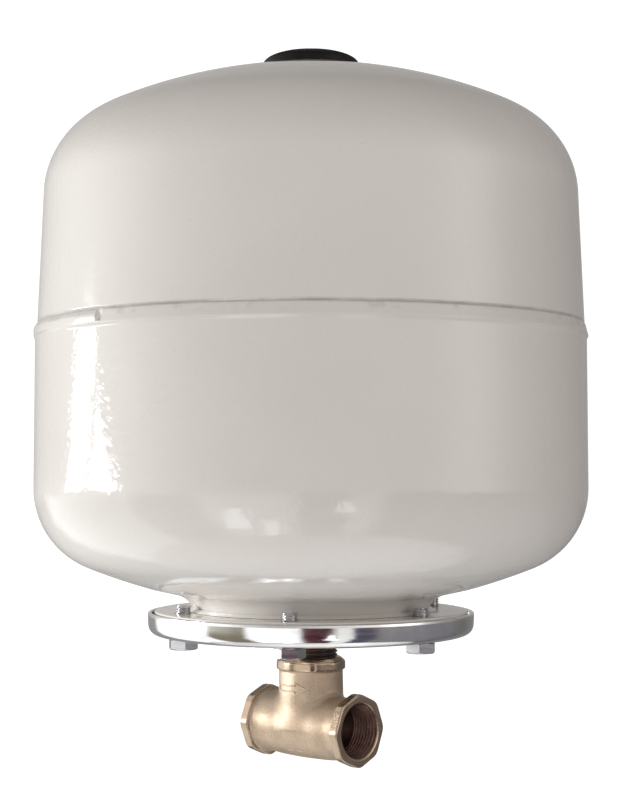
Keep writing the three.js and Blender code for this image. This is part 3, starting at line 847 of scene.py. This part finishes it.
def stand(name, data, location, way):
    """Puts a lamp or camera up in the scene, looking along a direction."""
    obj = bpy.data.objects.new(name, data)
    obj.location = location
    obj.rotation_euler = way.to_track_quat("-Z", "Y").to_euler()
    bpy.context.scene.collection.objects.link(obj)
    return obj


def softbox(name, aim, towards, distance, size, power, tint=(1, 1, 1), spread=180):
    """A rectangular lamp at some distance from the point it is aimed at."""
    light = bpy.data.lights.new(name, "AREA")
    light.shape = "RECTANGLE"
    light.size, light.size_y = size
    light.energy, light.color, light.spread = power, tint, math.radians(spread)
    location = aim + towards * distance
    stand(name, light, location, aim - location)


def camera():
    data = bpy.data.cameras.new("camera")
    data.lens, data.sensor_width = 75.3, 36.0
    data.clip_start, data.clip_end = 0.01, 50
    location = direction(0) * CAMERA_AWAY + Vector((0, 0, CAMERA_HIGH))
    way = -direction(0) * math.cos(CAMERA_PITCH) + Vector((0, 0, math.sin(CAMERA_PITCH)))
    bpy.context.scene.camera = stand("camera", data, location, way)


def floor():
    top, bottom = FLOOR_TOP, FLOOR_TOP - 20
    section = soften([(0, top), (FLOOR_R, top, 4), (FLOOR_R, bottom, 4), (0, bottom)], False)
    disc = revolve("floor", section, 128)
    look = Look("pale_floor", Roughness=0.9)
    look.colour(look.blend(look.noise(3, 2), (0.90, 0.90, 0.90), (0.93, 0.93, 0.93)))
    disc.data.materials.append(look.mat)


def lamps():
    for side, power in ((-104, 3.0), (66, 6.5)):
        below = direction(side) * 0.5 + Vector((0, 0, FLOOR_TOP * MM))
        softbox("floor_wash", below, direction(0, 90), 0.7, (0.9, 0.9), power)
    flange = Vector((0, 0, 0.062))
    softbox("under_side", flange, direction(-84, 3), 0.5, (0.14, 0.04), 0.02, (0.96, 0.98, 1.0), 16)


def surroundings():
    """Plain white to the camera, and to everything else a light room with windows on the left."""
    world = bpy.data.worlds.new("studio")
    bpy.context.scene.world = world
    world.use_nodes = True
    tree = world.node_tree
    coords = tree.nodes.new("ShaderNodeTexCoord").outputs["Generated"]

    def towards(way):
        facing = tree.nodes.new("ShaderNodeVectorMath")
        facing.operation = "DOT_PRODUCT"
        facing.inputs[1].default_value = way
        tree.links.new(coords, facing.inputs[0])
        return facing.outputs["Value"]

    def span(source, lo, hi):
        spread = tree.nodes.new("ShaderNodeMapRange")
        spread.interpolation_type = "SMOOTHSTEP"
        spread.inputs["From Min"].default_value, spread.inputs["From Max"].default_value = lo, hi
        tree.links.new(source, spread.inputs["Value"])
        return spread.outputs["Result"]

    def mix(factor, first, second):
        return mix_colours(tree, factor, first, second)

    def maths(operation, *values):
        return do_maths(tree, operation, *values)

    def add(base, factor, colour):
        n = tree.nodes.new("ShaderNodeVectorMath")
        n.operation = "MULTIPLY_ADD"
        n.inputs[1].default_value = colour
        tree.links.new(factor, n.inputs[0])
        tree.links.new(base, n.inputs[2])
        return n.outputs["Vector"]

    plain = maths("ARCTAN2", towards(direction(90)), towards(direction(0)))
    wobble = tree.nodes.new("ShaderNodeTexNoise")
    wobble.inputs["Scale"].default_value = 9
    tree.links.new(coords, wobble.inputs["Vector"])
    around = maths("ADD", plain, maths("MULTIPLY", maths("SUBTRACT", wobble.outputs["Fac"], 0.5), 0.10))

    ramp = tree.nodes.new("ShaderNodeValToRGB")
    stops = ramp.color_ramp.elements
    stops.remove(stops[1])
    for index, (degrees, colour) in enumerate(LOW_ROOM):
        stop = stops.new((degrees + 180) / 360) if index else stops[0]
        stop.color = (*colour, 1)
    tree.links.new(maths("ADD", maths("MULTIPLY", around, 1 / TAU), 0.5), ramp.inputs["Fac"])
    up = maths("ARCSINE", towards(Vector((0, 0, 1))))

    def glow_over(base, azimuth, elevation, wide, tall, colour):
        parts = []
        for source, middle, spread in ((plain, azimuth, wide), (up, elevation, tall)):
            away = maths("DIVIDE", maths("SUBTRACT", source, math.radians(middle)), math.radians(spread))
            parts.append(maths("POWER", away, 2))
        glow = maths("EXPONENT", maths("MULTIPLY", maths("ADD", *parts), -0.5))
        return add(base, glow, colour)

    def pane(azimuth, half, taper, lean, low, high, edge=0.5):
        """1 inside one pane, 0 outside, with soft edges."""
        climb = maths("SUBTRACT", up, math.radians(low))
        side = maths("SUBTRACT", plain, math.radians(azimuth))
        side = maths("ABSOLUTE", maths("SUBTRACT", side, maths("MULTIPLY", climb, lean)))
        side = maths("ADD", side, maths("MULTIPLY", climb, half * taper / (high - low)))
        inside = span(side, math.radians(half + edge), math.radians(half - edge))
        for border, soft in ((low, edge / 4), (high, -edge / 4)):
            step = span(up, math.radians(border - soft), math.radians(border + soft))
            inside = maths("MULTIPLY", inside, step)
        return inside

    room = mix(span(towards(direction(95)), -0.1, 0.9), ROOM_LEFT, ROOM_RIGHT)
    room = mix(span(up, 0.3, 1.2), room, CEILING)
    for glow in FAR_GLOWS:
        room = glow_over(room, *glow)
    low_room = mix(pane(*SHADE, edge=3.0), ramp.outputs["Color"], OLIVE)
    room = mix(span(towards(Vector((0, 0, -1))), 0.035, 0.10), room, low_room)
    for glow in NEAR_GLOWS:
        room = glow_over(room, *glow)
    for *window, strength in PANES:
        room = add(room, pane(*window), (strength,) * 3)
    seen = tree.nodes.new("ShaderNodeLightPath").outputs["Is Camera Ray"]
    tree.links.new(mix(seen, room, BACKDROP), tree.nodes["Background"].inputs["Color"])


def assemble():
    upper_shell()
    lower_shell()
    seam_weld()
    neck_weld()
    cover_flange()
    counter_flange()
    for index, (x, y) in enumerate(bolt_places()):
        flange_bolt(index, x, y)
    nipple()
    tee()
    cover_cap()
    dust_cap()
    valve_body()
    valve_nut()
    valve_core()
    membrane()
    carried_over()
    camera()
    floor()
    surroundings()
    lamps()
    bpy.context.scene.view_settings.view_transform = "Standard"


assemble()
